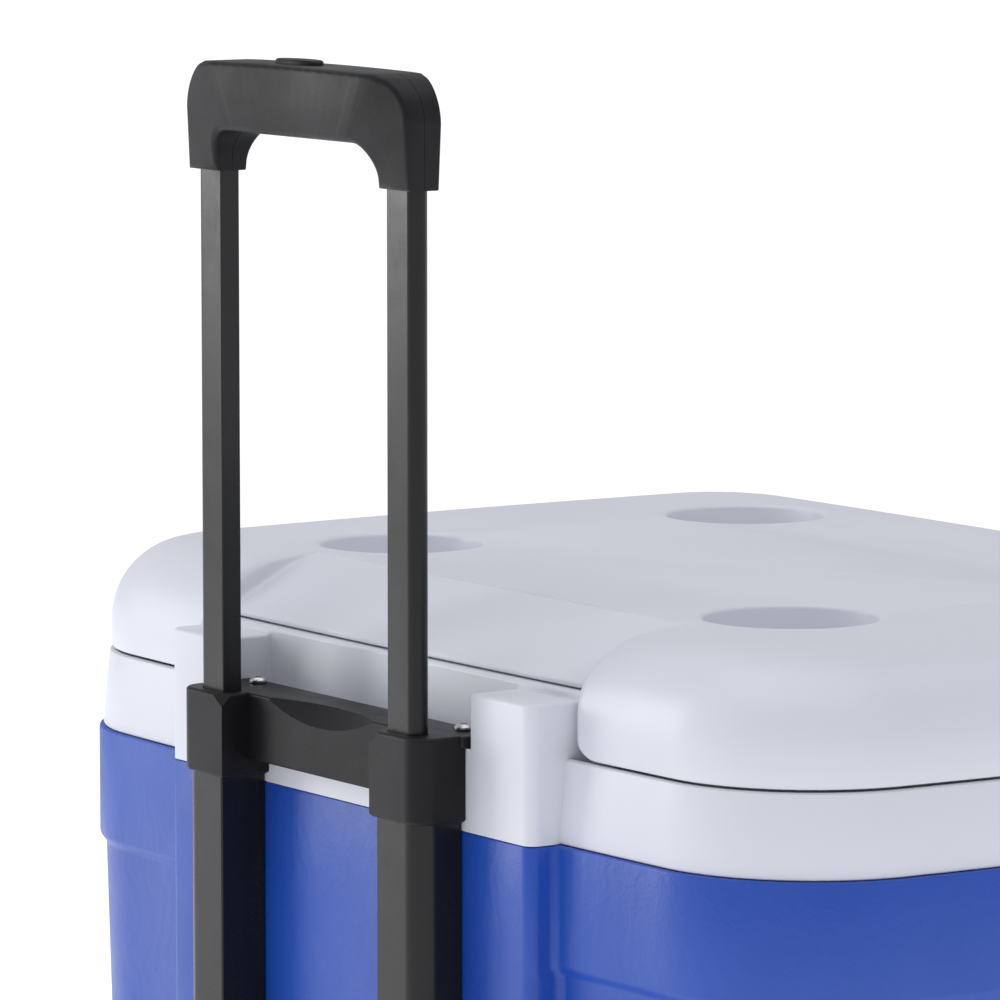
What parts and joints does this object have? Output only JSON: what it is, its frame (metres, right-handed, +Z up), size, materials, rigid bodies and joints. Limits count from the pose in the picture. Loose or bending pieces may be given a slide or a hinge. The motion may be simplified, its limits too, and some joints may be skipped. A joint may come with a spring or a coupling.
{
  "type": "wheeled cooler",
  "caption": "Insulated cooler on wheels with a hinged lid with cup rests and a telescopic pull handle that slides down behind the lid.",
  "frame": {"origin": "on the floor, under the middle of the box that the whole cooler fills at rest, with the handle pulled out and the lid shut", "axes": "+Z up, -Y towards the side that carries the pull handle, +X to the right along that side seen from behind the cooler looking along +Y"},
  "size_m": [0.585, 0.4676, 0.682],
  "materials": {
    "blue_plastic": "royal blue polyethylene, finely grained, satin",
    "white_plastic": "cool white polyethylene, very fine grain, satin",
    "liner_plastic": "smooth white polypropylene, semi-gloss",
    "foam": "rigid polyurethane foam, hidden",
    "black_plastic": "charcoal black polypropylene, fine spark grain",
    "black_metal": "black anodised or coated tube, satin",
    "zinc_steel": "bright zinc plate",
    "tread_rubber": "matte black rubber",
    "seal_rubber": "soft grey-black seal"
  },
  "bodies": {
    "cooler_body": {"outer_shell": "blue_plastic", "foam_core": "foam", "inner_liner": "liner_plastic", "collar": "white_plastic", "handle_bracket": "black_plastic", "bracket_screw_left": "zinc_steel", "bracket_screw_right": "zinc_steel", "lower_bracket": "black_plastic", "lower_screw_left": "zinc_steel", "lower_screw_right": "zinc_steel", "handle_tube_left": "black_metal", "handle_tube_right": "black_metal", "axle": "zinc_steel", "axle_beam": "black_plastic", "wheel_washer_left": "zinc_steel", "wheel_washer_right": "zinc_steel", "wheel_cap_left": "black_plastic", "wheel_cap_right": "black_plastic", "foot_left": "tread_rubber", "foot_right": "tread_rubber", "hinge_leaf_left": "white_plastic", "hinge_leaf_right": "white_plastic", "hinge_pin_left": "zinc_steel", "hinge_pin_right": "zinc_steel", "drain_spout": "black_plastic", "drain_washer": "seal_rubber"},
    "lid": {"lid_shell": "white_plastic", "lid_foam": "foam", "lid_liner": "liner_plastic", "lid_gasket": "seal_rubber", "lid_leaf_left": "white_plastic", "lid_leaf_right": "white_plastic"},
    "handle": {"rod_left": "black_metal", "rod_right": "black_metal", "rod_guide_left": "black_plastic", "rod_guide_right": "black_plastic", "grip_front": "black_plastic", "grip_rear": "black_plastic", "button_spring": "zinc_steel"},
    "release": {"release_button": "black_plastic", "release_link": "black_plastic", "push_rod_left": "zinc_steel", "push_rod_right": "zinc_steel"},
    "lock_left": {"lock_pin_left": "zinc_steel"},
    "lock_right": {"lock_pin_right": "zinc_steel"},
    "wheel_left": {"wheel_left": "black_plastic", "tyre_left": "tread_rubber"},
    "wheel_right": {"wheel_right": "black_plastic", "tyre_right": "tread_rubber"},
    "drain_plug": {"drain_plug": "black_plastic"}
  },
  "joints": [
    {"name": "lid_hinge", "type": "hinge", "parent": "cooler_body", "child": "lid", "pos_m": [0, 0.22832, 0.3992], "axis": [-1, 0, 0], "range_deg": [0, 105]},
    {"name": "handle_slide", "type": "slide", "parent": "cooler_body", "child": "handle", "axis": [0, 0, 1], "range_m": [-0.226, 0]},
    {"name": "button_press", "type": "slide", "parent": "handle", "child": "release", "axis": [0, 0, -1], "range_m": [0, 0.004], "stiffness_N_per_m": 500, "springref_m": -0.004, "deforming": ["button_spring"]},
    {"name": "lock_left_draw", "type": "slide", "parent": "handle", "child": "lock_left", "axis": [-1, 0, 0], "range_m": [0, 0.002]},
    {"name": "lock_right_draw", "type": "slide", "parent": "handle", "child": "lock_right", "axis": [1, 0, 0], "range_m": [0, 0.002]},
    {"name": "wheel_left_spin", "type": "hinge", "parent": "cooler_body", "child": "wheel_left", "pos_m": [-0.2585, -0.15332, 0.062], "axis": [1, 0, 0], "continuous": true},
    {"name": "wheel_right_spin", "type": "hinge", "parent": "cooler_body", "child": "wheel_right", "pos_m": [0.2585, -0.15332, 0.062], "axis": [1, 0, 0], "continuous": true},
    {"name": "drain_plug_pull", "type": "slide", "parent": "cooler_body", "child": "drain_plug", "axis": [0, 1, 0], "range_m": [0, 0.03]}
  ],
  "couplings": [
    {"joint": "lock_left_draw", "follows": "button_press", "ratio": 0.5},
    {"joint": "lock_right_draw", "follows": "button_press", "ratio": 0.5}
  ]
}
